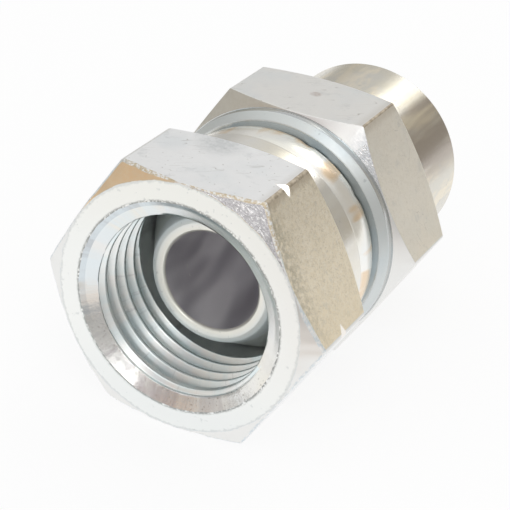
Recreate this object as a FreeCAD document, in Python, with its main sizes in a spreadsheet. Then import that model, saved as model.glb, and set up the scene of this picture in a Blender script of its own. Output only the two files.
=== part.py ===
import FreeCAD, Part
import os
import Sketcher

# Straight hydraulic adapter: a turned body with a 60 degree cone nose at one end and a plain
# round spigot at the other, and a hexagon swivel nut that is swaged on behind the nose.
# The flow axis is Y. The origin is the centre of the body's rear shoulder, where the spigot
# leaves the hexagon. The nut's mouth faces -Y. All lengths are in millimetres.

document = FreeCAD.newDocument("adapter")
sheet = document.addObject("Spreadsheet::Sheet", "sizes")

# Driving dimensions
sizes = {
    # flow bore, the same right through the body
    "boreDiameter": 10.7,
    "boreEdgeChamfer": 0.25,
    # nose: a ring face with a rounded edge that runs into the sealing cone, and the flange behind it
    "noseTipDiameter": 13.6,
    "noseFaceWidth": 0.8,
    "noseEdgeLength": 0.55,
    "noseEdgeRadius": 1.2,
    "coneAngle": 60,
    "flangeLength": 1.6,
    # both hexagons, which take one spanner
    "acrossFlats": 27,
    "hexChamferAngle": 30,
    "hexFaceInset": 0.1,
    # body hexagon, collar and spigot
    "bodyHexLength": 10.1,
    "collarInset": 0.2,
    "collarLength": 1.3,
    "collarChamfer": 0.75,
    "spigotDiameter": 22,
    "spigotLength": 14,
    "spigotChamfer": 0.9,
    "neckRootChamfer": 0.5,
    # nut hexagon
    "nutHexLength": 11.75,
    "cornerMarkPlace": 5.45,
    "cornerMarkDepth": 0.58,
    # nut thread, drawn as a plain wall at the crests of the female thread
    "threadDiameter": 20.955,
    "threadDepth": 1.162,
    "mouthFlare": 0.72,
    "mouthBreakWidth": 0.55,
    "mouthBreakDepth": 0.4,
    "countersinkAngle": 120,
    "threadEnd": 6.5,
    "runoutStep": 0.34,
    "runoutLength": 2.1,
    # room in the nut for the flange, and the swaged lip behind it
    "reliefDepth": 0.27,
    "reliefLength": 7.2,
    "lipHold": 0.6,
    "lipLength": 4.2,
    "lipLeadLength": 0.2,
    "lipEdgeChamfer": 0.4,
    # nut outside, behind the hexagon
    "bossWall": 2.15,
    "swageStepLength": 0.9,
    "swageNeckWall": 1.6,
    "skirtEndWall": 1.5,
    "skirtCrownRadius": 7.0,
    "skirtEdgeLength": 0.8,
    "skirtEdgeRadius": 1.3,
    "skirtEndLand": 0.75,
    # play between the two pieces
    "flangeClearance": 0.25,
    "lipAxialClearance": 0.35,
    "neckClearance": 0.3,
    "collarGap": 0.6,
    # how far a cutting or joining outline runs past the face that it meets
    "overrun": 1,
}
for row, (alias, value) in enumerate(sizes.items(), start=1):
    sheet.set(f"A{row}", alias)
    sheet.set(f"B{row}", str(value))
    sheet.setAlias(f"B{row}", alias)
document.recompute()


def bind(formula):
    """Write a formula in @names as one that reads the sheet's cells."""
    return formula.replace("@", "sizes.")


def number(formula):
    return float(sheet.evalExpression(bind(formula)))


# Places worked out from the driving dimensions, as formulas
flangeRadius = "(@threadDiameter / 2 + @reliefDepth - @flangeClearance)"
reliefRadius = "(@threadDiameter / 2 + @reliefDepth)"
lipRadius = f"({flangeRadius} - @lipHold)"
neckRadius = f"({lipRadius} - @neckClearance)"
crestRadius = "(@threadDiameter / 2 - @threadDepth)"
coneSlope = "tan(@coneAngle / 2 * 1 deg)"
hexSlope = "tan(@hexChamferAngle * 1 deg)"
hexApothem = "(@acrossFlats / 2)"
hexCorner = "(@acrossFlats / sqrt(3))"
hexFaceRadius = "(@acrossFlats / 2 - @hexFaceInset)"


def origin_plane(body, role):
    return next(f for f in body.Origin.OriginFeatures if f.Role == role)


def outline(body, name, role, corners, arcs=None):
    """Sketch a closed outline from formulas. A side in arcs has that radius and bulges to the right."""
    arcs = arcs or {}
    sketch = body.newObject("Sketcher::SketchObject", name)
    sketch.AttachmentSupport = [(origin_plane(body, role), "")]
    sketch.MapMode = "FlatFace"
    document.recompute()
    points = [FreeCAD.Vector(number(across), number(along), 0) for across, along in corners]
    count = len(points)
    for side, start in enumerate(points):
        end = points[(side + 1) % count]
        if side in arcs:
            sketch.addGeometry(arc_between(start, end, number(arcs[side])), False)
        else:
            sketch.addGeometry(Part.LineSegment(start, end), False)
    for side in range(count):
        sketch.addConstraint(Sketcher.Constraint("Coincident", side, 2, (side + 1) % count, 1))
    for side, corner in enumerate(corners):
        for kind, formula in zip(("DistanceX", "DistanceY"), corner):
            if formula == "0":
                axis = -2 if kind == "DistanceX" else -1
                sketch.addConstraint(Sketcher.Constraint("PointOnObject", side, 1, axis))
                continue
            place = Sketcher.Constraint(kind, -1, 1, side, 1, number(formula))
            sketch.setExpression(f"Constraints[{sketch.addConstraint(place)}]", bind(formula))
    for side, radius in arcs.items():
        curve = Sketcher.Constraint("Radius", side, number(radius))
        sketch.setExpression(f"Constraints[{sketch.addConstraint(curve)}]", bind(radius))
    sketch.Visibility = False
    return sketch


def arc_between(start, end, radius):
    chord = end - start
    right = FreeCAD.Vector(chord.y, -chord.x, 0).normalize()
    rise = radius - (radius**2 - chord.Length**2 / 4) ** 0.5
    return Part.Arc(start, (start + end) / 2 + right * rise, end)


def hexagon(body, name, length, towardsPlusY):
    """A hexagon bar from the XZ plane, with one flat down."""
    corners = [
        (hexCorner, "0"),
        (f"({hexCorner} / 2)", hexApothem),
        (f"(-{hexCorner} / 2)", hexApothem),
        (f"(-{hexCorner})", "0"),
        (f"(-{hexCorner} / 2)", f"(-{hexApothem})"),
        (f"({hexCorner} / 2)", f"(-{hexApothem})"),
    ]
    feature = body.newObject("PartDesign::Pad", name)
    feature.Profile = outline(body, f"{name}_outline", "XZ_Plane", corners)
    feature.Reversed = towardsPlusY
    feature.setExpression("Length", bind(length))
    document.recompute()
    return feature


def turned(body, name, sketch, cuts=False, angle=360):
    """Turn an outline about the flow axis, to add or to cut, and see that it changed the solid."""
    before = body.Shape.Volume if body.Tip else 0.0
    kind = "PartDesign::Groove" if cuts else "PartDesign::Revolution"
    feature = body.newObject(kind, name)
    feature.Profile = sketch
    feature.ReferenceAxis = (sketch, ["V_Axis"])
    feature.Angle = angle
    feature.Midplane = angle < 360
    document.recompute()
    change = body.Shape.Volume - before
    if (change >= 0) if cuts else (change <= 0):
        raise RuntimeError(f"{name} changed nothing")
    return feature


def chamfer_ring(body, name, faceRadius, facePlace, backwards):
    """Cut a hexagon's end at the chamfer angle, outside a circle on its face."""
    sign = "-" if backwards else "+"
    outer = f"({hexCorner} + @overrun)"
    depth = f"(({outer} - {faceRadius}) * {hexSlope})"
    corners = [
        (faceRadius, facePlace),
        (outer, facePlace),
        (outer, f"({facePlace} {sign} {depth})"),
    ]
    return turned(body, name, outline(body, f"{name}_outline", "XY_Plane", corners), cuts=True)


# Adapter body
adapterBody = document.addObject("PartDesign::Body", "adapter_body")
adapterBody.Label = "adapter_body"

hexFront = "(-@bodyHexLength)"
collarFront = f"({hexFront} - @collarLength)"
flangeRear = f"({collarFront} - @collarGap - @lipLength - @lipAxialClearance)"
coneEnd = f"({flangeRear} - @flangeLength)"
coneStart = f"({coneEnd} - ({flangeRadius} - @noseTipDiameter / 2) / {coneSlope})"
noseFace = f"({coneStart} - @noseEdgeLength)"
collarRadius = "(@acrossFlats / 2 - @collarInset)"

hexagon(adapterBody, "body_hexagon", "@bodyHexLength", False)
chamfer_ring(adapterBody, "body_front_chamfer", hexFaceRadius, hexFront, False)
chamfer_ring(adapterBody, "body_rear_chamfer", hexFaceRadius, "0", True)

frontCorners = [
    ("0", noseFace),
    ("(@boreDiameter / 2 + @noseFaceWidth)", noseFace),
    ("(@noseTipDiameter / 2)", coneStart),
    (flangeRadius, coneEnd),
    (flangeRadius, flangeRear),
    (neckRadius, flangeRear),
    (neckRadius, f"({collarFront} - @neckRootChamfer)"),
    (f"({neckRadius} + @neckRootChamfer)", collarFront),
    (f"({collarRadius} - @collarChamfer)", collarFront),
    (collarRadius, f"({collarFront} + @collarChamfer)"),
    (collarRadius, f"({hexFront} + @overrun)"),
    ("0", f"({hexFront} + @overrun)"),
]
frontArcs = {1: "@noseEdgeRadius"}
turned(adapterBody, "nose_to_collar",
       outline(adapterBody, "nose_to_collar_outline", "XY_Plane", frontCorners, frontArcs))

spigotCorners = [
    ("0", "(-@overrun)"),
    ("(@spigotDiameter / 2)", "(-@overrun)"),
    ("(@spigotDiameter / 2)", "(@spigotLength - @spigotChamfer)"),
    ("(@spigotDiameter / 2 - @spigotChamfer)", "@spigotLength"),
    ("0", "@spigotLength"),
]
turned(adapterBody, "spigot", outline(adapterBody, "spigot_outline", "XY_Plane", spigotCorners))

boreCorners = [
    ("0", f"({noseFace} - @overrun)"),
    ("(@boreDiameter / 2 + @boreEdgeChamfer + @overrun)", f"({noseFace} - @overrun)"),
    ("(@boreDiameter / 2)", f"({noseFace} + @boreEdgeChamfer)"),
    ("(@boreDiameter / 2)", "(@spigotLength - @boreEdgeChamfer)"),
    ("(@boreDiameter / 2 + @boreEdgeChamfer + @overrun)", "(@spigotLength + @overrun)"),
    ("0", "(@spigotLength + @overrun)"),
]
turned(adapterBody, "flow_bore",
       outline(adapterBody, "flow_bore_outline", "XY_Plane", boreCorners), cuts=True)

# Swivel nut, drawn from its mouth at zero towards +Y
swivelNut = document.addObject("PartDesign::Body", "swivel_nut")
swivelNut.Label = "swivel_nut"

bossRadius = f"({reliefRadius} + @bossWall)"
reliefStart = "(@threadEnd + @runoutLength)"
lipStart = f"({reliefStart} + @reliefLength)"
nutEnd = f"({lipStart} + @lipLength)"
swageStart = f"({lipStart} - @swageStepLength)"
swageRadius = f"({reliefRadius} + @swageNeckWall)"
skirtRadius = f"({reliefRadius} + @skirtEndWall)"

hexagon(swivelNut, "nut_hexagon", "@nutHexLength", True)
chamfer_ring(swivelNut, "nut_front_chamfer", hexFaceRadius, "0", False)
chamfer_ring(swivelNut, "nut_rear_chamfer", bossRadius, "@nutHexLength", True)

# A V mark is cut over one corner and again over the next one up
markCorners = [
    (f"({hexCorner} - @cornerMarkDepth)", "@cornerMarkPlace"),
    (f"({hexCorner} + @overrun)", "(@cornerMarkPlace - @cornerMarkDepth - @overrun)"),
    (f"({hexCorner} + @overrun)", "(@cornerMarkPlace + @cornerMarkDepth + @overrun)"),
]
cornerMark = turned(swivelNut, "corner_mark",
                    outline(swivelNut, "corner_mark_outline", "XY_Plane", markCorners),
                    cuts=True, angle=60)
cornerMarks = swivelNut.newObject("PartDesign::PolarPattern", "corner_marks")
cornerMarks.Originals = [cornerMark]
cornerMarks.Axis = (cornerMark.Profile[0], ["V_Axis"])
cornerMarks.Reversed = True
cornerMarks.Angle = 60
cornerMarks.Occurrences = 2
swivelNut.Tip = cornerMarks
document.recompute()

skirtCorners = [
    ("0", "(@nutHexLength - @overrun)"),
    (bossRadius, "(@nutHexLength - @overrun)"),
    (bossRadius, swageStart),
    (swageRadius, lipStart),
    (skirtRadius, f"({nutEnd} - @skirtEdgeLength)"),
    (f"({skirtRadius} - @skirtEndLand)", nutEnd),
    ("0", nutEnd),
]
skirtArcs = {3: "@skirtCrownRadius", 4: "@skirtEdgeRadius"}
turned(swivelNut, "boss_and_skirt",
       outline(swivelNut, "boss_and_skirt_outline", "XY_Plane", skirtCorners, skirtArcs))

mouthRadius = "(@threadDiameter / 2 + @mouthFlare)"
countersinkRadius = f"({mouthRadius} - @mouthBreakWidth)"
countersinkSlope = "tan(@countersinkAngle / 2 * 1 deg)"
crestStart = f"(@mouthBreakDepth + ({countersinkRadius} - {crestRadius}) / {countersinkSlope})"
innerCorners = [
    ("0", "(-@overrun)"),
    (f"({mouthRadius} + @overrun * @mouthBreakWidth / @mouthBreakDepth)", "(-@overrun)"),
    (countersinkRadius, "@mouthBreakDepth"),
    (crestRadius, crestStart),
    (crestRadius, "@threadEnd"),
    (f"({crestRadius} + @runoutStep)", "@threadEnd"),
    (f"({crestRadius} + @runoutStep)", reliefStart),
    (reliefRadius, f"({reliefStart} + @threadDepth / 2)"),
    (reliefRadius, f"({lipStart} - @lipLeadLength)"),
    (lipRadius, lipStart),
    (lipRadius, f"({nutEnd} - @lipEdgeChamfer)"),
    (f"({lipRadius} + @lipEdgeChamfer + @overrun)", f"({nutEnd} + @overrun)"),
    ("0", f"({nutEnd} + @overrun)"),
]
turned(swivelNut, "nut_inside",
       outline(swivelNut, "nut_inside_outline", "XY_Plane", innerCorners), cuts=True)

# The nut sits on the body with its lip just behind the flange
swivelNut.setExpression("Placement.Base.y", bind(f"{flangeRear} + @lipAxialClearance - {lipStart}"))
document.recompute()

# Every object is sound before anything is written
for item in document.Objects:
    for state in item.State:
        if "Invalid" in state or "Error" in state:
            raise RuntimeError(f"{item.Name} is {state}")
    if item.TypeId == "Sketcher::SketchObject" and item.solve() != 0:
        raise RuntimeError(f"{item.Name} doesn't solve")

os.makedirs("parts", exist_ok=True)
for part in (adapterBody, swivelNut):
    shape = part.Shape
    if shape.isNull() or not shape.isValid() or len(shape.Solids) != 1:
        raise RuntimeError(f"{part.Label} isn't one sound solid")
    shape.exportStep(f"parts/{part.Label}.step")
    box = shape.BoundBox
    print(part.Label, f"{shape.Volume:.1f} mm3", f"Y {box.YMin:.2f} to {box.YMax:.2f}",
          f"X {box.XMin:.2f} to {box.XMax:.2f}", f"Z {box.ZMin:.2f} to {box.ZMax:.2f}")
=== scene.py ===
import math

import bmesh
import bpy
from mathutils import Matrix, Vector, noise


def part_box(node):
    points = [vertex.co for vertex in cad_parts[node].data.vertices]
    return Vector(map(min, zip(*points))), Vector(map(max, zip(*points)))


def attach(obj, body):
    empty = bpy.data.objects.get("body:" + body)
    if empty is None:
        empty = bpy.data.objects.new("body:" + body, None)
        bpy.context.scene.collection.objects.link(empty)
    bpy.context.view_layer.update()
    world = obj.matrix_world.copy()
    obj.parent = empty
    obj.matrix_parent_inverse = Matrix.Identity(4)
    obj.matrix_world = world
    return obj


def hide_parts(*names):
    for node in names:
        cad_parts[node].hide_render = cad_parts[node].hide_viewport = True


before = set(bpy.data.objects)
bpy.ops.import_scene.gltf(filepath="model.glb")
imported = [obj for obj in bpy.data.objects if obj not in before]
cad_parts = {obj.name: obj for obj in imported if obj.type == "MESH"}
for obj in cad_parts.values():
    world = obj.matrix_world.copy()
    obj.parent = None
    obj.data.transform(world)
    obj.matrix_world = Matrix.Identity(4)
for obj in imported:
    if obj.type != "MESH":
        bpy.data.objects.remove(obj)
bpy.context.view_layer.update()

mm = 0.001
nutLow, nutHigh = (Vector(corner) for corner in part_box("swivel_nut"))
bodyLow, bodyHigh = (Vector(corner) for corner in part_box("adapter_body"))

# the two hexagons and the mouth of the nut come from the frame, in millimetres here
acrossFlats = (nutHigh.z - nutLow.z) / mm
apothem = acrossFlats / 2
cornerReach = acrossFlats / math.sqrt(3)
mouthPlace = nutLow.y / mm


# Node maths

class Wire:
    # one output of a node, so that sums on it read as Python and add Math nodes
    def __init__(self, board, socket):
        self.board, self.socket = board, socket

    def math(self, operation, *others):
        values = dict(enumerate((self, *others)))
        return self.board.node("ShaderNodeMath", {"operation": operation}, values)

    def __add__(self, other): return self.math("ADD", other)
    def __sub__(self, other): return self.math("SUBTRACT", other)
    def __mul__(self, other): return self.math("MULTIPLY", other)
    def __truediv__(self, other): return self.math("DIVIDE", other)
    def __pow__(self, other): return self.math("POWER", other)
    def __radd__(self, other): return self + other
    def __rmul__(self, other): return self * other

    def __rsub__(self, other):
        return self.board.node("ShaderNodeMath", {"operation": "SUBTRACT"}, {0: other, 1: self})

    def off(self, middle):
        # how far it is from a value, either way
        return (self - middle).math("ABSOLUTE")

    def step(self, low, high):
        # a smooth rise from 0 at low to 1 at high
        return self.board.node("ShaderNodeMapRange", {"interpolation_type": "SMOOTHSTEP"},
                               {"Value": self, "From Min": low, "From Max": high})

    def output(self, name):
        return Wire(self.board, self.socket.node.outputs[name])


class Board:
    # one node tree, emptied, and the one way to add a node to it
    def __init__(self, tree):
        self.tree = tree
        tree.nodes.clear()

    def node(self, kind, settings=None, sockets=None, output=0):
        item = self.tree.nodes.new(kind)
        for name, value in (settings or {}).items():
            setattr(item, name, value)
        for name, value in (sockets or {}).items():
            socket = item.inputs[name]
            if isinstance(value, Wire):
                self.tree.links.new(value.socket, socket)
            elif socket.type == "RGBA":
                socket.default_value = (*value, 1.0)
            else:
                socket.default_value = value
        return Wire(self, item.outputs[output]) if item.outputs else None

    def mix(self, factor, first, second, blend="MIX"):
        # sockets 6 and 7 are the Mix node's two colours, and output 2 is its colour
        settings = {"data_type": "RGBA", "blend_type": blend, "clamp_factor": True}
        return self.node("ShaderNodeMix", settings, {0: factor, 6: first, 7: second}, output=2)

    def combine(self, x, y, z):
        return self.node("ShaderNodeCombineXYZ", {}, {"X": x, "Y": y, "Z": z})

    def cloud(self, vector, scale, detail=2.0, roughness=0.5, distortion=0.0):
        return self.node("ShaderNodeTexNoise", {}, {
            "Vector": vector, "Scale": scale, "Detail": detail, "Roughness": roughness,
            "Distortion": distortion})

    def bump(self, height, distance):
        return self.node("ShaderNodeBump", {}, {"Strength": 1.0, "Distance": distance * mm, "Height": height})


# Zinc plate finishes

plate = {
    "base": (0.86, 0.86, 0.845),  # clear zinc plate on steel
    "straw": (0.87, 0.83, 0.70),  # the passivation's straw tint
    "sky": (0.74, 0.80, 0.83),  # and its blue one
    "khaki": (0.93, 0.83, 0.64),  # a drawn flat under a thicker film
    "honey": (0.98, 0.85, 0.61),  # and where that film is yellowest
    "fibre": (0.98, 0.93, 0.82),  # the drawn fibres' tops
    "groove": (0.34, 0.28, 0.17),  # and the dirt between them
    "olive": (0.30, 0.28, 0.20),
    # a painted amber reflection, on a chamfer and on the skirt
    "paintedAmberReflection": (0.86, 0.65, 0.42),
    "rustAndPaintedShadeTone": (0.46, 0.41, 0.36),  # a dull rust streak along the spigot, also its painted shade
    "spot": (0.30, 0.16, 0.10),  # one rust spot
    "plum": (0.47, 0.43, 0.46),  # where the tool chattered
    # painted dark reflections on the chattered chamfers, the nut's and the body's
    "torn": (0.50, 0.49, 0.505),
    "paintedGreyReflection": (0.60, 0.62, 0.65),
    "paintedGlint": (0.93, 0.92, 0.93),  # painted glints on the torn metal
    "greyStain": (0.60, 0.58, 0.52),
    "slate": (0.42, 0.45, 0.46),
    "soil": (0.25, 0.22, 0.18),  # specks and rubbed in dirt
    "burr": (0.68, 0.58, 0.42),
    "rubbed": (0.95, 0.95, 0.94),
    "worn": (0.42, 0.35, 0.26),  # flats beside the dull corner
    "cornerDark": (0.42, 0.36, 0.28),
    "cornerPale": (0.62, 0.55, 0.45),
    "ring": (0.94, 0.95, 0.93),  # the nut's face
    "ringTear": (0.26, 0.27, 0.26),
    # a painted reflection of the shadowed floor, round the mouth
    "paintedMouthReflection": (0.50, 0.54, 0.58),
    "mouthBlue": (0.78, 0.86, 0.90),
    "flank": (1.0, 1.0, 0.98),  # the thread's flanks
    "flankBlue": (0.88, 0.97, 0.99),
    "noseStraw": (0.96, 0.94, 0.86),
    "noseBlue": (0.90, 0.94, 0.95),
    "drilled": (0.58, 0.565, 0.60),  # the bore, hardly plated
    "drilledPale": (1.0, 0.99, 1.0),
    "shade": (0.86, 0.89, 0.90),  # deep inside the nut
    "shadePale": (0.96, 0.98, 0.98),
}

# where the marks of making and handling lie, and some painted reflections and painted shade, in degrees round
# the flow axis from +X to +Z
bearing = {
    "filmedFlat": 30,
    "rustAndPaintedShadeStreak": 36,
    "tornCorner": 60,
    "brownEdge": 80,
    "paintedReflectionAndStainCorner": 120,
    "paintedMouthReflection": 135,
    "blueSink": 150,
}
onCornerShare = (0.86, 0.95)  # how far a direction's share of the radius rises over a corner
fineRelief = 0.012  # millimetres


class Finish(Board):
    # a finish: its material, and each place on the piece in millimetres
    def __init__(self, name):
        self.material = bpy.data.materials.new(name)
        self.material.use_nodes = True
        super().__init__(self.material.node_tree)
        coordinates = self.node("ShaderNodeTexCoord", output="Object")
        self.place = self.node("ShaderNodeVectorMath", {"operation": "SCALE"},
                               {0: coordinates, "Scale": 1 / mm})
        split = self.node("ShaderNodeSeparateXYZ", {}, {0: self.place})
        self.x, self.y, self.z = (split.output(axis) for axis in "XYZ")
        self.radius = (self.x * self.x + self.z * self.z) ** 0.5

    def towards(self, degrees):
        # how far a place reaches in one direction across the flow axis
        turn = math.radians(degrees)
        return self.x * math.cos(turn) + self.z * math.sin(turn)

    def facing(self, degrees):
        # the same as a share of the radius, so 1 straight in that direction
        return self.towards(degrees) / self.radius

    def near(self, place, inner, outer):
        # 1 close to a place, falling to 0
        gap = self.node("ShaderNodeVectorMath", {"operation": "DISTANCE"}, {0: self.place, 1: place},
                        output="Value")
        return 1 - gap.step(inner, outer)

    def around(self, turns, along, seed=0.0):
        # streaks that run along the surface of revolution, fine in angle
        across = self.x / self.radius * turns + seed
        return self.cloud(self.combine(across, self.y * along, self.z / self.radius * turns), 1.0, 3.0)

    def rings(self, pace, seed=0.0):
        # rings that a lathe tool leaves, hardly changing round the axis
        slow = (self.x + self.z) * 0.05
        return self.cloud(self.combine(self.y * pace + seed, self.radius * pace, slow), 1.0, 3.0)

    def tint(self, straw, sky):
        drift = self.cloud(self.place, 0.13, 2.0).step(0.42, 0.66)
        other = self.cloud(self.place, 0.21, 1.0).step(0.48, 0.70)
        tinted = self.mix(drift * straw, plate["base"], plate["straw"])
        return self.mix(other * sky, tinted, plate["sky"])

    def finish(self, colour, roughness, height, distance, metallic=1.0):
        shader = self.node("ShaderNodeBsdfPrincipled", {}, {
            "Base Color": colour, "Metallic": metallic, "Roughness": roughness,
            "Normal": self.bump(height, distance)})
        self.node("ShaderNodeOutputMaterial", {}, {"Surface": shader})
        return self.material


def turnedFinish(name, ridge, roughness, straw, sky, shade=(1, 1, 1), worn=0.0, paintedGoldReflection=0.0, metallic=1.0):
    # turned steel: fine rings, a slow feed mark, a few small nicks, worn streaks, one of them a rust streak
    # that also paints shade on the spigot, and a painted gold reflection on the skirt
    f = Finish(name)
    fine, feed = f.rings(9.0), f.rings(2.1, 7.0)
    grit = f.cloud(f.place, 5.0, 2.0)
    nicks = f.cloud(f.place, 1.4, 1.0).step(0.74, 0.78)
    colour = f.mix(1.0, f.tint(straw, sky), shade, "MULTIPLY")
    if worn:
        smear = f.cloud(f.combine(f.x * 0.5, f.y * 0.16, f.z * 0.5), 1.0, 3.0).step(0.45, 0.62)
        streak = f.cloud(f.combine(f.x, f.y * 0.1, f.z), 0.5).step(0.3, 0.6)
        # a rust streak on one side, which the worn share also turns into painted shade over the spigot's
        # darker side
        rustAndPaintedShade = f.facing(bearing["rustAndPaintedShadeStreak"]).step(0.86, 0.98) * streak
        colour = f.mix(smear * worn, colour, plate["khaki"])
        colour = f.mix(rustAndPaintedShade * worn * 1.6, colour, plate["rustAndPaintedShadeTone"])
    if paintedGoldReflection:
        # painted gold reflection, in patches towards the skirt's rear
        paintedGoldPatches = f.cloud(f.combine(f.x * 0.3, f.y * 0.1, f.z * 0.3), 1.0, 2.0).step(0.50, 0.60)
        colour = f.mix(f.y.step(-16.6, -15.2) * paintedGoldPatches * paintedGoldReflection, colour, plate["paintedAmberReflection"])
    colour = f.mix(nicks * 0.5, colour, plate["slate"])
    height = fine * 0.6 + feed * 0.6 + grit * 0.3 - nicks * 0.5
    return f.finish(colour, grit.step(0.3, 0.7) * 0.07 + roughness, height, ridge, metallic)


def flatsFinish(name, bare, roughness, filmed, frontPlace, speckled, smudgeAt, smudgeColour):
    # drawn bar under zinc: fibres all over one flat, hairlines, specks and a smudge on the others
    f = Finish(name)
    filmedFlat = f.towards(bearing["filmedFlat"]).step(apothem - 0.12, apothem - 0.03) * filmed
    strand = 1 - f.cloud(f.place, 1.5, 3.0, 0.6, 2.2).off(0.5).step(0.0, 0.05)
    thin = 1 - f.cloud(f.place, 1.9, 2.0, 0.6, 1.8).off(0.5).step(0.0, 0.07)
    grain = f.cloud(f.place, 7.0, 3.0)
    mottle = f.cloud(f.place, 1.9, 4.0, 0.65)
    specks = f.cloud(f.place, 2.3, 1.0).step(0.71, 0.76)
    # hairlines run across the flats at a slant, and only here and there
    across, along = f.y * 0.8 - f.x * 0.6, f.x * 0.8 + f.y * 0.6
    hairs = 1 - f.cloud(f.combine(along * 0.10, across * 0.8, f.z * 0.3), 1.0, 1.0).off(0.52).step(0.0, 0.006)
    hairs = hairs * f.cloud(f.place, 0.35).step(0.5, 0.56)
    smudge = f.cloud(f.place, 0.5, 4.0, 0.7).step(0.56, 0.72)
    corner = f.towards(bearing["tornCorner"]).step(14.95, 15.45)
    upper = f.z.step(-3.0, 9.0)
    front = 1 - f.y.step(frontPlace + 0.4, frontPlace + 3.2)
    front = front * mottle.step(0.35, 0.6) * (upper * 0.7 + 0.3)
    dirty = thin * mottle.step(0.35, 0.6) * (upper * 0.25 + 0.15)
    spotted = f.near(*smudgeAt) * (mottle.step(0.35, 0.65) * 0.25 + 0.2)
    layers = [
        (f.cloud(f.place, 0.2).step(0.45, 0.7) * 0.3, plate["sky"]),
        (filmedFlat * 0.9, plate["khaki"]),
        (filmedFlat * (1 - f.z.step(-4, 6)) * 0.6, plate["honey"]),
        (strand * filmedFlat * (upper * 0.5 + 0.3), plate["fibre"]),
        (dirty * filmedFlat, plate["groove"]),
        (smudge * 0.20, plate["slate"]),
        ((hairs * 0.45 + specks * speckled) * (1 - filmedFlat * 0.7), plate["soil"]),
        (spotted, smudgeColour),
        # the filmed flat darker towards its top
        (filmedFlat * f.z.step(4, 13) * 0.25, plate["soil"]),
        (front * filmedFlat * 0.4, plate["olive"]),
        (corner * (filmedFlat * 0.4 + 0.2), plate["worn"]),
    ]
    colour = bare
    for share, tone in layers:
        colour = f.mix(share, colour, tone)
    fibres = strand * filmedFlat * 1.1 - thin * filmedFlat * 0.8
    height = grain * 0.35 + mottle * 0.5 + fibres - specks - hairs
    return f.finish(colour, mottle.step(0.3, 0.7) * 0.08 + roughness, height, fineRelief)


def chamferFinish(name, plain, paintedReflectionAndStainTone, torn, tear, tornTo):
    # the interrupted cut over the corners: a painted amber reflection at one on the nut, a grey stain there
    # on the body, and at the next, where the tool chattered, torn metal with painted dark reflections and
    # painted glints
    f = Finish(name)
    # painted amber reflection at one corner of the nut's chamfer; on the body's chamfer a grey stain
    paintedReflectionAndStainMask = f.facing(bearing["paintedReflectionAndStainCorner"]).step(*onCornerShare)
    outward, sideways = f.towards(bearing["tornCorner"]), f.towards(bearing["tornCorner"] + 90)
    # the chattered patch: real chatter marks in the bump, painted dark reflection in the colour
    chatterAndPaintedReflection = (outward / f.radius).step(*onCornerShare) * (1 - sideways.step(tornTo - 1.5, tornTo + 1.5))
    facets = f.cloud(f.place, 3.0, 4.0, 0.7)
    slanted = f.combine(outward * 9.0 + f.y * 5.0, sideways * 1.6, f.y * 1.0)
    streaks = f.cloud(slanted, 1.0, 4.0, 0.65)
    fleck = f.cloud(f.place, 7.0, 2.0).step(0.56, 0.66)
    # painted glints along the streaks and in flecks
    paintedChatterGlints = (streaks.step(0.47, 0.60) * facets.step(0.38, 0.58)).math("MAXIMUM", fleck * 0.5)
    colour = f.mix(paintedReflectionAndStainMask, plain, f.mix(facets.step(0.30, 0.8) * 0.18, paintedReflectionAndStainTone, plate["base"]))
    colour = f.mix(chatterAndPaintedReflection * 0.95, colour, f.mix(paintedChatterGlints, torn, plate["paintedGlint"]))
    height = facets * (chatterAndPaintedReflection * 0.35 + 0.06) + streaks * (chatterAndPaintedReflection * 0.9 + 0.05)
    return f.finish(colour, 0.36 - chatterAndPaintedReflection * 0.10, height, tear)


def edgeFinish(name):
    # burred edges: rubbed bright here, brown there
    f = Finish(name)
    rub = f.cloud(f.place, 2.8, 3.0, 0.7).step(0.42, 0.60)
    brown = f.mix(f.facing(bearing["brownEdge"]).step(0.72, 0.84), plate["sky"], plate["burr"])
    colour = f.mix(rub, brown, plate["rubbed"])
    return f.finish(colour, 0.34, f.cloud(f.place, 4.5, 3.0, 0.7), 0.12)


def cornerFinish(name):
    # the hexagon's long corners, one of them dull and brownish
    f = Finish(name)
    rub = f.cloud(f.place, 1.6, 4.0, 0.7).step(0.40, 0.62)
    brown = f.mix(rub, plate["cornerDark"], plate["cornerPale"])
    colour = f.mix(f.facing(bearing["tornCorner"]).step(0.90, 0.95), plate["base"], brown)
    return f.finish(colour, 0.55, rub, fineRelief)


def faceFinish(name):
    # the ring face: straw above and blue below, a torn dark line round its inner edge, and a painted dark
    # reflection line round its outer edge
    f = Finish(name)
    colour = f.mix(f.z.step(2, 12) * 0.22, plate["ring"], plate["straw"])
    colour = f.mix((1 - f.z.step(-12, -4)) * 0.22, colour, plate["sky"])
    torn = f.cloud(f.place, 2.4, 4.0, 0.7)
    uneven = f.radius + torn * 0.9
    inner, outer = 1 - uneven.step(11.74, 11.98), uneven.step(13.55, 13.75)
    specks = f.cloud(f.place, 1.7, 2.0).step(0.68, 0.74)
    colour = f.mix(inner * torn.step(0.38, 0.52) * 0.9, colour, plate["ringTear"])
    # a painted dark reflection line round the outer edge, and grey specks
    colour = f.mix(outer * 0.30 + specks * 0.25, colour, plate["slate"])
    height = f.rings(5.0) * 0.5 + f.cloud(f.place, 3.5, 3.0) * 0.7 - inner * torn * 1.5
    return f.finish(colour, 0.40, height, fineRelief)


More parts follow.
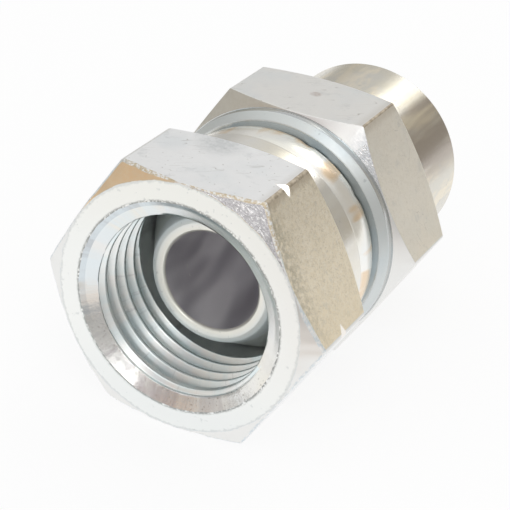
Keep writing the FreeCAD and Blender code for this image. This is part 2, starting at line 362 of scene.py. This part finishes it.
def sinkFinish(name):
    # the countersink: bright, with streaks below where the tool chattered, blue at one side, and a painted
    # reflection of the shadowed floor round its outer edge on another
    f = Finish(name)
    streak, broad = f.around(34.0, 0.7), f.around(9.0, 0.2, 3.0)
    lower = 1 - f.z.step(-9.0, 0.0)
    speck = f.cloud(f.place, 3.6, 2.0).step(0.62, 0.70) * lower
    # painted reflection of the shadowed floor under the nut, in the countersink's outer band
    paintedFloorReflection = f.radius.step(10.66, 10.74) * f.towards(bearing["paintedMouthReflection"]).step(2.0, 7.5)
    blue = f.towards(bearing["blueSink"]).step(3.0, 9.0) * broad.step(0.3, 0.6)
    colour = f.mix(broad.step(0.40, 0.62) * lower * 0.35, f.tint(0.5, 0.4), plate["plum"])
    colour = f.mix(speck * 0.5, colour, plate["soil"])
    colour = f.mix(paintedFloorReflection * 0.75, colour, plate["paintedMouthReflection"])
    colour = f.mix(blue * 0.6, colour, plate["mouthBlue"])
    rough = f.cloud(f.place, 4.0, 4.0, 0.7) * lower
    height = streak * (0.3 + lower * 0.5) + rough * 2.2 + f.rings(4.0) * 0.3
    return f.finish(colour, 0.14 + streak * 0.08, height, 0.011)


def threadFinish(name):
    # flanks left by a fast tap: smooth, blue-green, a little streaked
    f = Finish(name)
    streak, broad = f.around(22.0, 0.5), f.around(5.0, 0.3, 5.0)
    colour = f.mix(broad.step(0.35, 0.65) * 0.7 + 0.2, plate["flank"], plate["flankBlue"])
    colour = f.mix(streak.step(0.60, 0.75) * 0.25, colour, plate["slate"])
    height = streak * 0.5 + broad + f.rings(6.0) * 0.3
    return f.finish(colour, 0.30 + streak * 0.10, height, fineRelief)


def plainFinish(name, dark, pale, roughness, scale):
    # hardly plated inner walls, blotched along a slant, with pale dots as painted glints
    f = Finish(name)
    blotch = f.cloud(f.combine(f.x + f.y * 0.35, f.y * 0.12, f.z - f.x * 0.5), scale, 1.0)
    # painted glints: a few pale dots
    paintedGlintDots = f.cloud(f.place, 0.75, 1.0).step(0.765, 0.785)
    colour = f.mix(blotch.step(0.38, 0.62), dark, pale)
    colour = f.mix(paintedGlintDots, colour, plate["base"])
    return f.finish(colour, roughness, f.rings(7.0) + f.cloud(f.place, 4.0) * 0.4, fineRelief)


def noseFinish(name):
    # the nose: straw at the bore, blue towards the cone, with a few grey specks
    f = Finish(name)
    specks = f.cloud(f.place, 2.2, 2.0).step(0.66, 0.72)
    colour = f.mix(f.radius.step(5.6, 6.9), plate["noseStraw"], plate["noseBlue"])
    colour = f.mix(specks * 0.25, colour, plate["slate"])
    height = f.rings(6.0) * 0.5 + f.cloud(f.place, 3.2, 3.0) * 0.6
    return f.finish(colour, 0.36, height, fineRelief, metallic=0.55)


# smudgeAt is a place, with the smudge's inner and outer reach
finishes = {
    "flats": flatsFinish("zincDrawnFlats", bare=(0.955, 0.96, 0.96), roughness=0.42, filmed=1.0,
                         frontPlace=-31.5, speckled=0.35, smudgeAt=((-1.8, -22.0, 13.5), 0.8, 3.4),
                         smudgeColour=plate["slate"]),
    "bodyFlats": flatsFinish("zincBodyFlats", bare=(0.88, 0.87, 0.84), roughness=0.36, filmed=0.4,
                             frontPlace=-12.0, speckled=0.1, smudgeAt=((0.2, -4.4, 13.5), 0.3, 0.8),
                             smudgeColour=plate["spot"]),
    "corner": cornerFinish("zincCorners"),
    "edge": edgeFinish("zincEdges"),
    "chamfer": chamferFinish("zincChamfers", plate["base"], plate["paintedAmberReflection"], plate["torn"], tear=0.09,
                             tornTo=12.0),
    "bodyChamfer": chamferFinish("zincBodyChamfers", plate["base"], plate["greyStain"], plate["paintedGreyReflection"],
                                 tear=0.07, tornTo=-0.6),
    "turned": turnedFinish("zincTurned", ridge=0.009, roughness=0.19, straw=0.6, sky=0.25,
                           shade=(1.0, 0.99, 0.97), worn=0.12),
    "skirt": turnedFinish("zincSkirt", ridge=0.009, roughness=0.19, straw=0.4, sky=0.3,
                          shade=(1.12, 1.11, 1.09), paintedGoldReflection=0.8),
    # the bevel and the collar are darkened and turned bluish as painted shade, where they lie in the gap
    # between nut and body
    "bevel": turnedFinish("zincBevel", ridge=0.006, roughness=0.42, straw=0.1, sky=0.5,
                          shade=(0.80, 0.84, 0.86)),
    "collar": turnedFinish("zincCollar", ridge=0.007, roughness=0.17, straw=0.0, sky=0.6,
                           shade=(0.72, 0.74, 0.75)),
    "spigot": turnedFinish("zincSpigot", ridge=0.007, roughness=0.20, straw=0.5, sky=0.1,
                           shade=(0.83, 0.80, 0.73), worn=0.6),
    "cone": turnedFinish("zincCone", ridge=0.007, roughness=0.34, straw=0.1, sky=0.5,
                         shade=(1.0, 1.04, 1.03), metallic=0.6),
    "mark": turnedFinish("zincMark", ridge=0.006, roughness=0.22, straw=0.1, sky=0.0,
                         shade=(1.08, 1.04, 1.0)),
    "face": faceFinish("zincFace"),
    "sink": sinkFinish("zincCountersink"),
    "thread": threadFinish("zincThread"),
    "nose": noseFinish("zincNose"),
    "bore": plainFinish("drilledBore", plate["drilled"], plate["drilledPale"], roughness=0.60, scale=0.24),
    "inside": plainFinish("insideNut", plate["shade"], plate["shadePale"], roughness=0.55, scale=0.4),
}
print("finishes made")


# Meshes turned round the flow axis

class Columns:
    # the places round the hexagon where a profile stands, closer together near the corners
    def __init__(self, perFlat, perCorner, cornerRound):
        reach = (apothem - cornerRound) * math.tan(math.radians(30))
        self.spots = []  # angle, distance from the axis, and whether it is on a corner's rounding
        for flat in range(6):
            facing = math.radians(30 + 60 * flat)
            for i in range(perFlat):
                along = reach * math.sin(math.pi / 2 * (2 * i / (perFlat - 1) - 1))
                self.spots.append(self.spot(apothem, along, facing, i == perFlat - 1))
            centre = (apothem - cornerRound) / math.cos(math.radians(30))
            for i in range(1, perCorner):
                turn = math.radians(60 * i / perCorner - 30)
                out = centre + cornerRound * math.cos(turn)
                along = cornerRound * math.sin(turn)
                self.spots.append(self.spot(out, along, facing + math.radians(30), True))

    def spot(self, out, along, facing, onCorner):
        return (facing + math.atan2(along, out)) % math.tau, math.hypot(out, along), onCorner


def roundCorners(points, steps=4):
    # points are (y, radius, round, finish[, finish of its rounding]), and each round becomes as many points
    leastTangent, longestCut = 0.05, 0.45  # a cut takes up to this share of a side
    spots, tags = [], []
    for i, (y, r, rounding, finish, *edge) in enumerate(points):
        here = Vector((y, r))
        if rounding == 0 or i in (0, len(points) - 1):
            spots.append(here)
            tags.append(finish)
            continue
        before = Vector(points[i - 1][:2]) - here
        after = Vector(points[i + 1][:2]) - here
        turn = before.angle(after, math.pi) if before.length and after.length else math.pi
        cut = min(rounding / max(math.tan(turn / 2), leastTangent),
                  before.length * longestCut, after.length * longestCut)
        start = here + before.normalized() * cut
        end = here + after.normalized() * cut
        for s in range(steps + 1):
            t = s / steps
            spots.append(start * (1 - t) ** 2 + here * 2 * t * (1 - t) + end * t**2)
            if s == steps:
                tags.append(finish)
            elif edge:
                tags.append(edge[0])
            else:
                tags.append(points[i - 1][3] if s < steps / 2 else finish)
    return spots, tags


def ringVertex(mesh, angle, r, y):
    return mesh.verts.new((r * math.cos(angle) * mm, y * mm, r * math.sin(angle) * mm))


def addSkin(mesh, corners, finish, names):
    # one face from four corners, or from three where two are the same
    corners = list(dict.fromkeys(corners))
    if len(corners) > 2:
        face = mesh.faces.new(corners)
        face.material_index = names.index(finish)
        face.smooth = True


def addStrip(mesh, columns, profile, closed, names):
    # joins one profile per column into a skin; profile(angle, hexRadius) gives its corners
    grid = []
    for angle, hexRadius, onCorner in columns.spots:
        spots, tags = roundCorners(profile(angle, hexRadius))
        if onCorner:
            tags = ["corner" if tag in ("flats", "bodyFlats") else tag for tag in tags]
        grid.append(([ringVertex(mesh, angle, s.y, s.x) for s in spots], tags))
    for i, (column, tags) in enumerate(grid):
        after = grid[(i + 1) % len(grid)][0]
        for j in range(len(tags) if closed else len(tags) - 1):
            k = (j + 1) % len(tags)
            addSkin(mesh, (column[j], column[k], after[k], after[j]), tags[j], names)
    return [column for column, tags in grid]


def finishPiece(name, mesh, body, node, names):
    same = 1e-8  # metres
    bmesh.ops.remove_doubles(mesh, verts=mesh.verts, dist=same)
    bmesh.ops.dissolve_degenerate(mesh, edges=mesh.edges, dist=same)
    bmesh.ops.recalc_face_normals(mesh, faces=mesh.faces)
    data = bpy.data.meshes.new(name)
    mesh.to_mesh(data)
    mesh.free()
    for finish in names:
        data.materials.append(finishes[finish])
    piece = bpy.data.objects.new(name, data)
    bpy.context.scene.collection.objects.link(piece)
    modifier = piece.modifiers.new("evenNormals", "WEIGHTED_NORMAL")
    modifier.weight = 80
    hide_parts(node)
    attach(piece, body)
    print(name, len(data.polygons), "faces")


def ragged(angle, amount, pace, seed):
    # a small uneven wander round the axis
    return amount * noise.noise(Vector((math.cos(angle) * pace, math.sin(angle) * pace, seed)))


# Swivel nut

nut = {
    "faceRadius": 13.4,
    "faceWander": (0.10, 9, 1),  # how far an edge wanders, how often, and a seed
    "chamferAngle": 30,
    "chamferWander": (0.16, 11, 2),
    "leastChamfer": 0.03,
    "hexLength": 11.75,
    "markPlace": 5.45,
    "markDepth": 0.58,
    "markCorners": (0, 60),  # degrees round the axis
    "markRound": 0.02,
    "majorRadius": 10.4775,
    "minorRadius": 9.45,
    "pitch": 1.814,
    "flankAngle": 27.5,
    "rootFlat": 0.19,
    "threadPhase": 0.30,
    "flankRows": 7,
    "rowGap": 0.02,  # rows stand this close to each crest and root edge
    "mouthRadius": 11.1975,
    "mouthWander": (0.08, 10, 3),
    "mouthRound": 0.06,
    "sinkRadius": 10.6475,
    "sinkStart": 0.4,
    "sinkAngle": 60,
    "entryDepth": 0.6,  # how much shallower the thread starts, and where that ends
    "entryStart": 0.9,
    "entryLength": 1.5,
    "runout": 9.2,
    "relief": 9.8,
    "reliefRadius": 10.7475,
    "lip": 15.8,
    "lipLead": 0.2,
    "lipRadius": 9.8975,
    "lipEdge": 0.4,
    "lipRound": 0.1,
    "length": 20.0,
    "bossRadius": 12.8975,
    "bossRound": 0.4,
    "rootRound": 0.06,  # where the boss leaves the hexagon
    "swageStart": 14.9,
    "swageRadius": 12.3475,
    "swageRound": 0.15,
    "skirtRadius": 12.2475,
    "skirtCrown": 0.21,
    "skirtRows": 8,
    "skirtEdge": 0.8,
    "skirtLand": 0.75,
    "skirtRound": 0.5,
    "landRound": 0.35,
    "dents": (39, 73, 205, 300),  # degrees round the axis, in the skirt's rear edge
    "dentDepth": 0.16,
    "dentWidth": 3.5,
    "frontRound": 0.5,
    "faceRound": 0.10,
    "edgeRound": 0.2,
    "cornerRound": 0.5,
}
nutColumns = Columns(38, 6, nut["cornerRound"])


def dentAt(angle):
    # how deep the skirt's rear edge is dented at an angle
    def share(place):
        away = min(abs(math.degrees(angle) - place) / nut["dentWidth"], 1)
        return math.cos(away * math.pi / 2)
    return max(share(place) for place in nut["dents"]) * nut["dentDepth"]


def nutProfile(angle, hexRadius):
    slope = math.tan(math.radians(nut["chamferAngle"]))
    faceRadius = nut["faceRadius"] + ragged(angle, *nut["faceWander"])
    mouth = nut["mouthRadius"] + ragged(angle, *nut["mouthWander"])
    frontEdge = (hexRadius - faceRadius) * slope + ragged(angle, *nut["chamferWander"])
    frontEdge = max(frontEdge, nut["leastChamfer"])
    rearEdge = nut["hexLength"] - (hexRadius - nut["bossRadius"]) * slope
    # the marks: cut down to a floor within some 26 degrees of two corners, and hardly there elsewhere
    marked = any(math.cos(angle - math.radians(corner)) > 0.9 for corner in nut["markCorners"])
    floor = min(hexRadius, cornerReach - nut["markDepth"]) if marked else hexRadius
    half = max(hexRadius - floor, nut["markRound"])
    walls = "mark" if half > nut["markRound"] else "flats"
    lipRound, markRound = nut["lipRound"], nut["markRound"]
    dent = dentAt(angle)
    skirtEnd = nut["length"] - nut["skirtEdge"]
    points = [
        (nut["relief"], nut["reliefRadius"], 0, "inside"),
        (nut["lip"] - nut["lipLead"], nut["reliefRadius"], lipRound, "inside"),
        (nut["lip"], nut["lipRadius"], lipRound, "inside"),
        (nut["length"] - nut["lipEdge"], nut["lipRadius"], lipRound, "turned"),
        (nut["length"], nut["lipRadius"] + nut["lipEdge"], lipRound, "turned"),
        (nut["length"], nut["skirtRadius"] - nut["skirtLand"] - dent, nut["landRound"], "bevel", "bevel"),
        (skirtEnd, nut["skirtRadius"] - dent, nut["skirtRound"], "skirt", "skirt"),
    ]
    for i in range(nut["skirtRows"] - 1, 0, -1):
        t = i / nut["skirtRows"]
        bulge = nut["skirtCrown"] * 4 * t * (1 - t)
        y = nut["lip"] + (skirtEnd - nut["lip"]) * t
        r = nut["swageRadius"] * (1 - t) + nut["skirtRadius"] * t + bulge - dent * max(t - 0.5, 0)
        points.append((y, r, 0, "skirt"))
    points += [
        (nut["lip"], nut["swageRadius"], nut["swageRound"], "skirt"),
        (nut["swageStart"], nut["bossRadius"], nut["bossRound"], "turned"),
        (nut["hexLength"], nut["bossRadius"], nut["rootRound"], "turned"),
        (rearEdge, hexRadius, nut["edgeRound"], "flats"),
        (nut["markPlace"] + half, hexRadius, markRound, walls),
        (nut["markPlace"], floor, markRound, walls),
        (nut["markPlace"] - half, hexRadius, markRound, "flats"),
        (frontEdge, hexRadius, nut["frontRound"], "chamfer", "edge"),
        (0, faceRadius, nut["faceRound"], "face", "edge"),
        (0, mouth, nut["mouthRound"], "sink"),
        (nut["sinkStart"], nut["sinkRadius"], 0, "sink"),
    ]
    return [(y + mouthPlace, r, *rest) for y, r, *rest in points]


def threadWall(y, angle):
    # the female thread alone: flat crests and roots with straight flanks between them
    turn = y / nut["pitch"] + angle / math.tau - nut["threadPhase"]
    offRoot = abs(turn - round(turn)) * nut["pitch"]
    fall = max((offRoot - nut["rootFlat"]) / math.tan(math.radians(nut["flankAngle"])), 0)
    # the first turn is cut shallower, as the tap starts
    t = min(max((y - nut["entryStart"]) / nut["entryLength"], 0), 1)
    fall += nut["entryDepth"] * (1 - t * t * (3 - 2 * t))
    return nut["majorRadius"] - min(fall, nut["majorRadius"] - nut["minorRadius"])


def sinkWall(y):
    return nut["sinkRadius"] - (y - nut["sinkStart"]) * math.tan(math.radians(nut["sinkAngle"]))


def runoutWall(y):
    rise = (nut["reliefRadius"] - nut["minorRadius"]) / (nut["relief"] - nut["runout"])
    return nut["minorRadius"] + (y - nut["runout"]) * rise


def threadRows():
    # where rows stand in one turn: close on both sides of every crest and root edge
    height = (nut["majorRadius"] - nut["minorRadius"]) * math.tan(math.radians(nut["flankAngle"]))
    root, crest = nut["rootFlat"] / nut["pitch"], (nut["rootFlat"] + height) / nut["pitch"]
    close, rows = nut["rowGap"] / nut["pitch"], nut["flankRows"]
    half = [root - close, root + close]
    half += [root + (crest - root) * i / rows for i in range(1, rows)]
    half += [crest - close, crest + close]
    return [0.0] + half + [0.5] + [1 - place for place in reversed(half)]


def addThread(mesh, columns, strip, names):
    # rows follow the helix, so each row of the last column meets the row one turn lower in the first
    first, last = nut["sinkStart"], nut["relief"]
    seam = 0.015  # a row this close to an end becomes the strip's own vertex there
    perTurn = threadRows()
    low = math.floor(first / nut["pitch"] - nut["threadPhase"]) - 1
    high = math.ceil(last / nut["pitch"] - nut["threadPhase"]) + 2
    grid = []
    for (angle, hexRadius, onCorner), edge in zip(columns.spots, strip):
        ys = [(n + place + nut["threadPhase"] - angle / math.tau) * nut["pitch"]
              for n in range(low, high) for place in perTurn]
        for wall in (sinkWall, runoutWall):
            # the row nearest to where the thread meets a cone moves onto that line
            gaps = [threadWall(y, angle) - wall(y) for y in ys]
            for k in range(len(ys) - 1):
                if gaps[k] * gaps[k + 1] < 0 and first < ys[k] < last:
                    share = gaps[k] / (gaps[k] - gaps[k + 1])
                    ys[k if share < 0.5 else k + 1] = ys[k] + (ys[k + 1] - ys[k]) * share
        column = []
        for y in ys:
            if y < first + seam:
                column.append(edge[-1])
            elif y > last - seam:
                column.append(edge[0])
            else:
                r = max(threadWall(y, angle), sinkWall(y), runoutWall(y))
                column.append(ringVertex(mesh, angle, r, y + mouthPlace))
        grid.append((angle, ys, column))
    for i, (angle, ys, column) in enumerate(grid):
        nextAngle, nextYs, after = grid[(i + 1) % len(grid)]
        shift = len(perTurn) if nextAngle < angle else 0
        for k in range(len(ys) - 1 - shift):
            middle = (ys[k + shift] + nextYs[k + 1]) / 2
            sunk = sinkWall(middle) >= threadWall(middle, (angle + (nextAngle - angle) / 2))
            addSkin(mesh, (column[k + shift], column[k + shift + 1], after[k + 1], after[k]),
                    "sink" if sunk else "thread", names)


def makeNut():
    names = ["turned", "skirt", "bevel", "flats", "corner", "edge", "chamfer", "mark", "face", "sink",
             "thread", "inside"]
    mesh = bmesh.new()
    strip = addStrip(mesh, nutColumns, nutProfile, False, names)
    addThread(mesh, nutColumns, strip, names)
    finishPiece("swivelNut", mesh, "nut", "swivel_nut", names)


makeNut()


# Adapter body

body = {
    "boreRadius": 5.35,
    "boreEdge": 0.25,
    "noseFaceWidth": 0.95,
    "noseFaceRound": 0.3,
    "noseTip": 7.06,
    "noseTipDrop": 0.22,  # how far inside the tip the nose's edge turns, and at what share of its length
    "noseTipShare": 0.40,
    "noseEdge": 0.62,
    "noseRound": 0.35,
    "coneStart": (1.55, 0.46),  # behind the nose's face, and outside its tip
    "coneRound": 0.2,
    "flangeRadius": 10.4975,
    "flangeLength": 1.6,
    "flangeRear": -16.55,
    "flangeRound": 0.1,
    "neckRadius": 9.5975,
    "neckRound": 0.3,
    "collarRadius": 13.3,
    "collarChamfer": 0.75,
    "collarLength": 1.6,
    "collarRounds": (0.2, 0.25),
    "hexLength": 10.1,
    "faceRadius": 13.4,
    "chamferAngle": 30,
    "chamferRound": 0.04,
    "edgeRound": 0.12,
    "sharpRound": 0.05,  # an edge that is hardly broken
    "cornerRound": 0.30,
    "spigotRadius": 11.0,
    "spigotRootRound": 0.15,
    "spigotChamfer": 0.9,
}
bodyColumns = Columns(32, 5, body["cornerRound"])
noseFace = bodyLow.y / mm
spigotEnd = bodyHigh.y / mm


def bodyProfile(angle, hexRadius):
    slope = math.tan(math.radians(body["chamferAngle"]))
    edge, sharp, turn = body["edgeRound"], body["sharpRound"], body["flangeRound"]
    hexFront = -body["hexLength"]
    collarFront = hexFront - body["collarLength"]
    bore, boreEdge = body["boreRadius"], body["boreEdge"]
    tip, tipLength = body["noseTip"], body["noseEdge"]
    rise = (hexRadius - body["faceRadius"]) * slope
    flangeRear = body["flangeRear"]
    frontRound, topRound = body["collarRounds"]
    coneBehind, coneOutside = body["coneStart"]
    return [
        (noseFace + boreEdge, bore, sharp, "nose"),
        (noseFace, bore + boreEdge, sharp, "nose"),
        (noseFace, bore + body["noseFaceWidth"], body["noseFaceRound"], "nose"),
        (noseFace + tipLength * body["noseTipShare"], tip - body["noseTipDrop"], body["noseRound"], "nose"),
        (noseFace + tipLength, tip, body["noseRound"], "nose"),
        (noseFace + coneBehind, tip + coneOutside, body["coneRound"], "cone"),
        (flangeRear - body["flangeLength"], body["flangeRadius"], turn, "cone"),
        (flangeRear, body["flangeRadius"], turn, "collar"),
        (flangeRear, body["neckRadius"], turn, "collar"),
        (collarFront, body["neckRadius"], body["neckRound"], "collar"),
        (collarFront, body["collarRadius"] - body["collarChamfer"], frontRound, "bevel", "bevel"),
        (collarFront + body["collarChamfer"], body["collarRadius"], topRound, "collar"),
        (hexFront, body["collarRadius"], sharp, "collar"),
        (hexFront, body["faceRadius"], body["chamferRound"], "bodyChamfer"),
        (hexFront + rise, hexRadius, edge, "bodyFlats"),
        (-rise, hexRadius, edge, "spigot"),
        (0, body["faceRadius"], edge, "spigot"),
        (0, body["spigotRadius"], body["spigotRootRound"], "spigot"),
        (spigotEnd - body["spigotChamfer"], body["spigotRadius"], edge, "spigot"),
        (spigotEnd, body["spigotRadius"] - body["spigotChamfer"], edge, "spigot"),
        (spigotEnd, bore + boreEdge, sharp, "spigot"),
        (spigotEnd - boreEdge, bore, sharp, "bore"),
    ]


def makeBody():
    names = ["collar", "bevel", "spigot", "cone", "bodyFlats", "corner", "bodyChamfer", "nose", "bore"]
    mesh = bmesh.new()
    addStrip(mesh, bodyColumns, bodyProfile, True, names)
    finishPiece("adapterBody", mesh, "body", "adapter_body", names)


makeBody()


# Studio: pale floor, white surroundings and soft lamps

studio = {
    "floorSize": 1.2,
    "floorGap": 0.00002,
    "floorColour": (0.93, 0.93, 0.93),
    "floorGlow": 0.85,  # the share of white that the camera and the metal see, the rest takes the shadow
    "level": 0.9,
    # what the floor shows in the metal, from near to far: the sheet's warm edge, the bench and the room
    "bands": [(-0.0587, (0.93, 0.80, 0.69)), (-0.080, (0.24, 0.25, 0.26)), (-0.17, (0.52, 0.48, 0.45))],
    "bandSlant": 0.3,
    "bandSoft": 0.002,
    "horizon": (0.50, 0.49, 0.47),
    "ceiling": (0.93, 0.93, 0.92),
    "ceilingStart": (0.40, 0.85),
    # what the metal mirrors round about: direction, inner and outer angle in degrees, colour
    "surroundings": [
        ((0.55, 0.80, 0.25), 10, 26, (0.48, 0.455, 0.41)),
        ((-0.371, 0.80, 0.471), 7, 16, (0.68, 0.68, 0.69)),
        ((0.06, 0.80, 0.60), 9, 16, (1.15, 1.13, 1.08)),
        ((-0.20, -0.82, 0.53), 6, 17, (0.44, 0.37, 0.37)),
        ((-0.77, -0.59, 0.23), 9, 17, (0.74, 0.71, 0.67)),
        ((-0.51, -0.745, 0.42), 6, 8, (0.74, 0.55, 0.40)),
        ((0.42, -0.84, 0.30), 5, 16, (0.60, 0.58, 0.57)),
        ((0.12, -0.92, 0.37), 1, 6, (1.0, 1.0, 1.0)),
    ],
}


def raysOf(board):
    # 1 for the camera's rays and for those that metal or glass reflects or passes on
    path = board.node("ShaderNodeLightPath", output="Is Camera Ray")
    glossy, passed = path.output("Is Glossy Ray"), path.output("Is Transmission Ray")
    return path.math("MAXIMUM", glossy).math("MAXIMUM", passed), glossy


def makeFloor():
    mesh = bmesh.new()
    bmesh.ops.create_grid(mesh, x_segments=4, y_segments=4, size=studio["floorSize"] / 2)
    data = bpy.data.meshes.new("studioFloor")
    mesh.to_mesh(data)
    mesh.free()
    floor = bpy.data.objects.new("studioFloor", data)
    floor.location.z = nutLow.z - studio["floorGap"]
    bpy.context.scene.collection.objects.link(floor)
    material = bpy.data.materials.new("studioFloor")
    material.use_nodes = True
    board = Board(material.node_tree)
    seen, glossy = raysOf(board)
    place = board.node("ShaderNodeTexCoord", output="Object")
    beside = board.node("ShaderNodeSeparateXYZ", {}, {0: place}, output="X")
    ahead = beside.output("Y") - beside * studio["bandSlant"]
    soft = studio["bandSoft"]
    sheet = (1, 1, 1)
    for edge, colour in studio["bands"]:
        shown = glossy * beside.step(-2 * soft, 2 * soft) * (1 - ahead.step(edge - soft, edge + soft))
        sheet = board.mix(shown, sheet, colour)
    diffuse = board.node("ShaderNodeBsdfDiffuse", {}, {"Color": studio["floorColour"]})
    glow = board.node("ShaderNodeEmission", {}, {"Color": sheet, "Strength": 1.0})
    mixed = board.node("ShaderNodeMixShader", {}, {0: seen * studio["floorGlow"], 1: diffuse, 2: glow})
    board.node("ShaderNodeOutputMaterial", {}, {"Surface": mixed})
    data.materials.append(material)


def makeWorld():
    world = bpy.data.worlds.new("studioRoom")
    bpy.context.scene.world = world
    world.use_nodes = True
    board = Board(world.node_tree)
    seen, glossy = raysOf(board)
    direction = board.node("ShaderNodeTexCoord", output="Generated")
    height = board.node("ShaderNodeSeparateXYZ", {}, {0: direction}, output="Z")
    room = board.mix(height.step(*studio["ceilingStart"]), studio["horizon"], studio["ceiling"])
    for towards, inner, outer, colour in studio["surroundings"]:
        unit = Vector(towards).normalized()
        near = board.node("ShaderNodeVectorMath", {"operation": "DOT_PRODUCT"}, {0: direction, 1: unit},
                          output="Value")
        near = near.step(math.cos(math.radians(outer)), math.cos(math.radians(inner)))
        room = board.mix(near, room, colour)
    room = board.mix(glossy, (1, 1, 1), room)
    white = board.node("ShaderNodeBackground", {}, {"Color": room, "Strength": 1.0})
    light = board.node("ShaderNodeBackground", {}, {"Color": (1, 1, 1), "Strength": studio["level"]})
    mixed = board.node("ShaderNodeMixShader", {}, {0: seen, 1: light, 2: white})
    board.node("ShaderNodeOutputWorld", {}, {"Surface": mixed})


# direction, distance, width and height in metres, and power in watts
lamps = {
    "behindAbove": ((0.10, 0.80, 0.59), 0.30, (0.085, 0.10), 0.035),
    "besideCamera": ((0.11, -0.93, 0.36), 0.35, (0.04, 0.05), 0.042),
    "overhead": ((0.30, -0.58, 0.75), 0.35, (0.15, 0.15), 0.13),
}


def makeLamps():
    middle = Vector((0, -0.01, 0))
    for name, (towards, distance, size, power) in lamps.items():
        data = bpy.data.lights.new(name, "AREA")
        data.shape = "RECTANGLE"
        data.size, data.size_y = size
        data.energy = power
        item = bpy.data.objects.new(name, data)
        direction = Vector(towards).normalized()
        item.location = middle + direction * distance
        item.rotation_euler = direction.to_track_quat("Z", "Y").to_euler()
        bpy.context.scene.collection.objects.link(item)


# the photograph's viewing angle: place in metres, angles in degrees, lens in pixels of the image
view = {
    "place": (0.0685, -0.1627, 0.0856),
    "azimuth": 24.91,
    "elevation": 28.12,
    "roll": -5.77,
    "focalPixels": 1752.8,
    "imagePixels": 510,
    "sensorWidth": 36,
    "clipStart": 0.005,
}


def makeCamera():
    azimuth, elevation, roll = (math.radians(view[angle]) for angle in ("azimuth", "elevation", "roll"))
    back = Vector((math.sin(azimuth) * math.cos(elevation), -math.cos(azimuth) * math.cos(elevation),
                   math.sin(elevation)))
    forward = -back
    level = forward.cross(Vector((0, 0, 1))).normalized()
    down = forward.cross(level)
    right = level * math.cos(roll) + down * math.sin(roll)
    down = forward.cross(right)
    data = bpy.data.cameras.new("camera")
    data.sensor_width = view["sensorWidth"]
    data.lens = data.sensor_width * view["focalPixels"] / view["imagePixels"]
    data.clip_start = view["clipStart"]
    camera = bpy.data.objects.new("camera", data)
    turned = Matrix((right, -down, back)).transposed().to_4x4()
    camera.matrix_world = Matrix.Translation(view["place"]) @ turned
    bpy.context.scene.collection.objects.link(camera)
    bpy.context.scene.camera = camera


makeFloor()
makeWorld()
makeLamps()
makeCamera()
bpy.context.scene.view_settings.view_transform = "Standard"
print("studio made")
